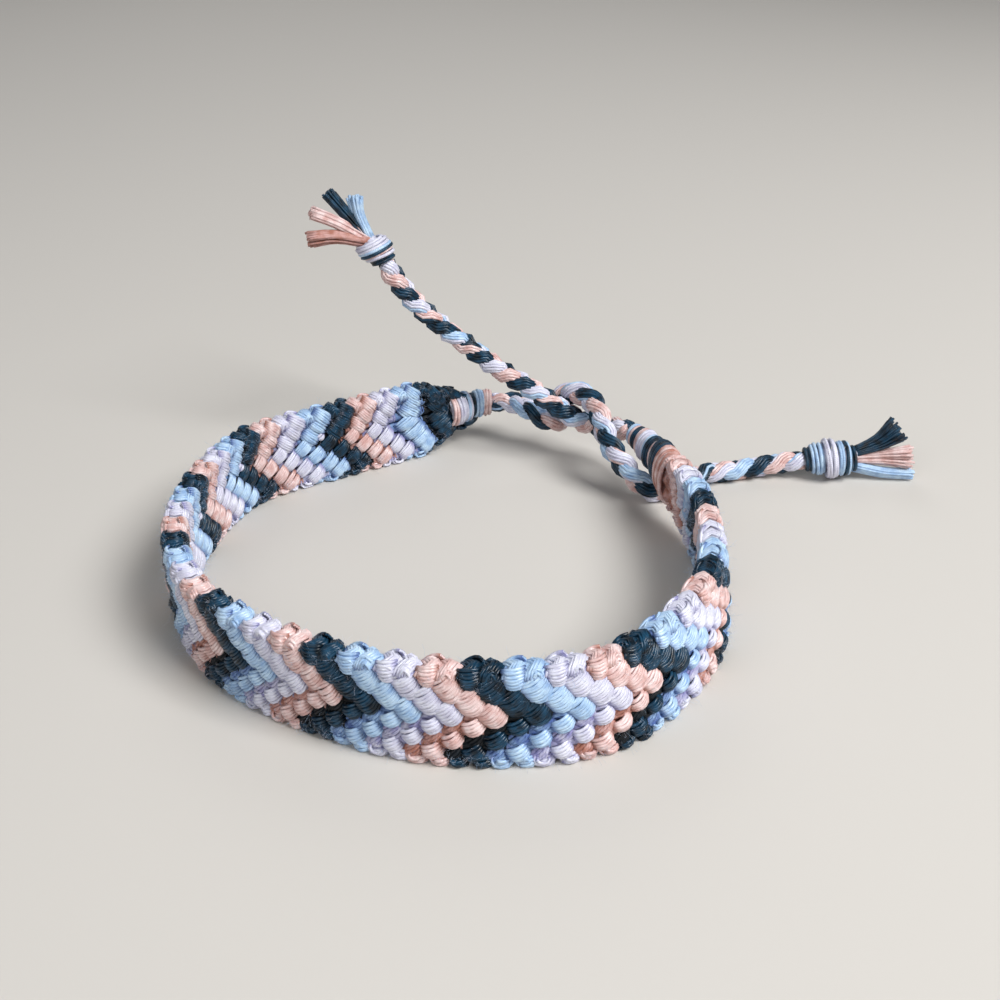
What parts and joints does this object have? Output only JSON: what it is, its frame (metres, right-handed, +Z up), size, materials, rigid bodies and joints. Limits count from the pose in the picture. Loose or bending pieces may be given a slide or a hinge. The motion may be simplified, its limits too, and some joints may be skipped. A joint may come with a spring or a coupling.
{
  "type": "friendship bracelet",
  "caption": "Knotted chevron friendship bracelet, tied shut with two braided ties that end in a knot and a short tassel.",
  "frame": {"origin": "on the surface it stands on, under the middle of the box round the band and its two necks", "axes": "+Z up, along the band's width; +Y from the front of the band towards the ties"},
  "size_m": [0.0809, 0.0648, 0.0312],
  "materials": {
    "blue_cotton": "soft sheen",
    "white_cotton": "soft sheen",
    "peach_cotton": "soft sheen",
    "navy_cotton": "soft sheen"
  },
  "bodies": {
    "root": {"band": "blue_cotton", "left_neck": "peach_cotton", "right_neck": "navy_cotton", "left_tie": "white_cotton", "right_tie": "navy_cotton", "left_end_knot": "white_cotton", "right_end_knot": "white_cotton", "left_tassel": "peach_cotton", "right_tassel": "peach_cotton"}
  },
  "joints": []
}
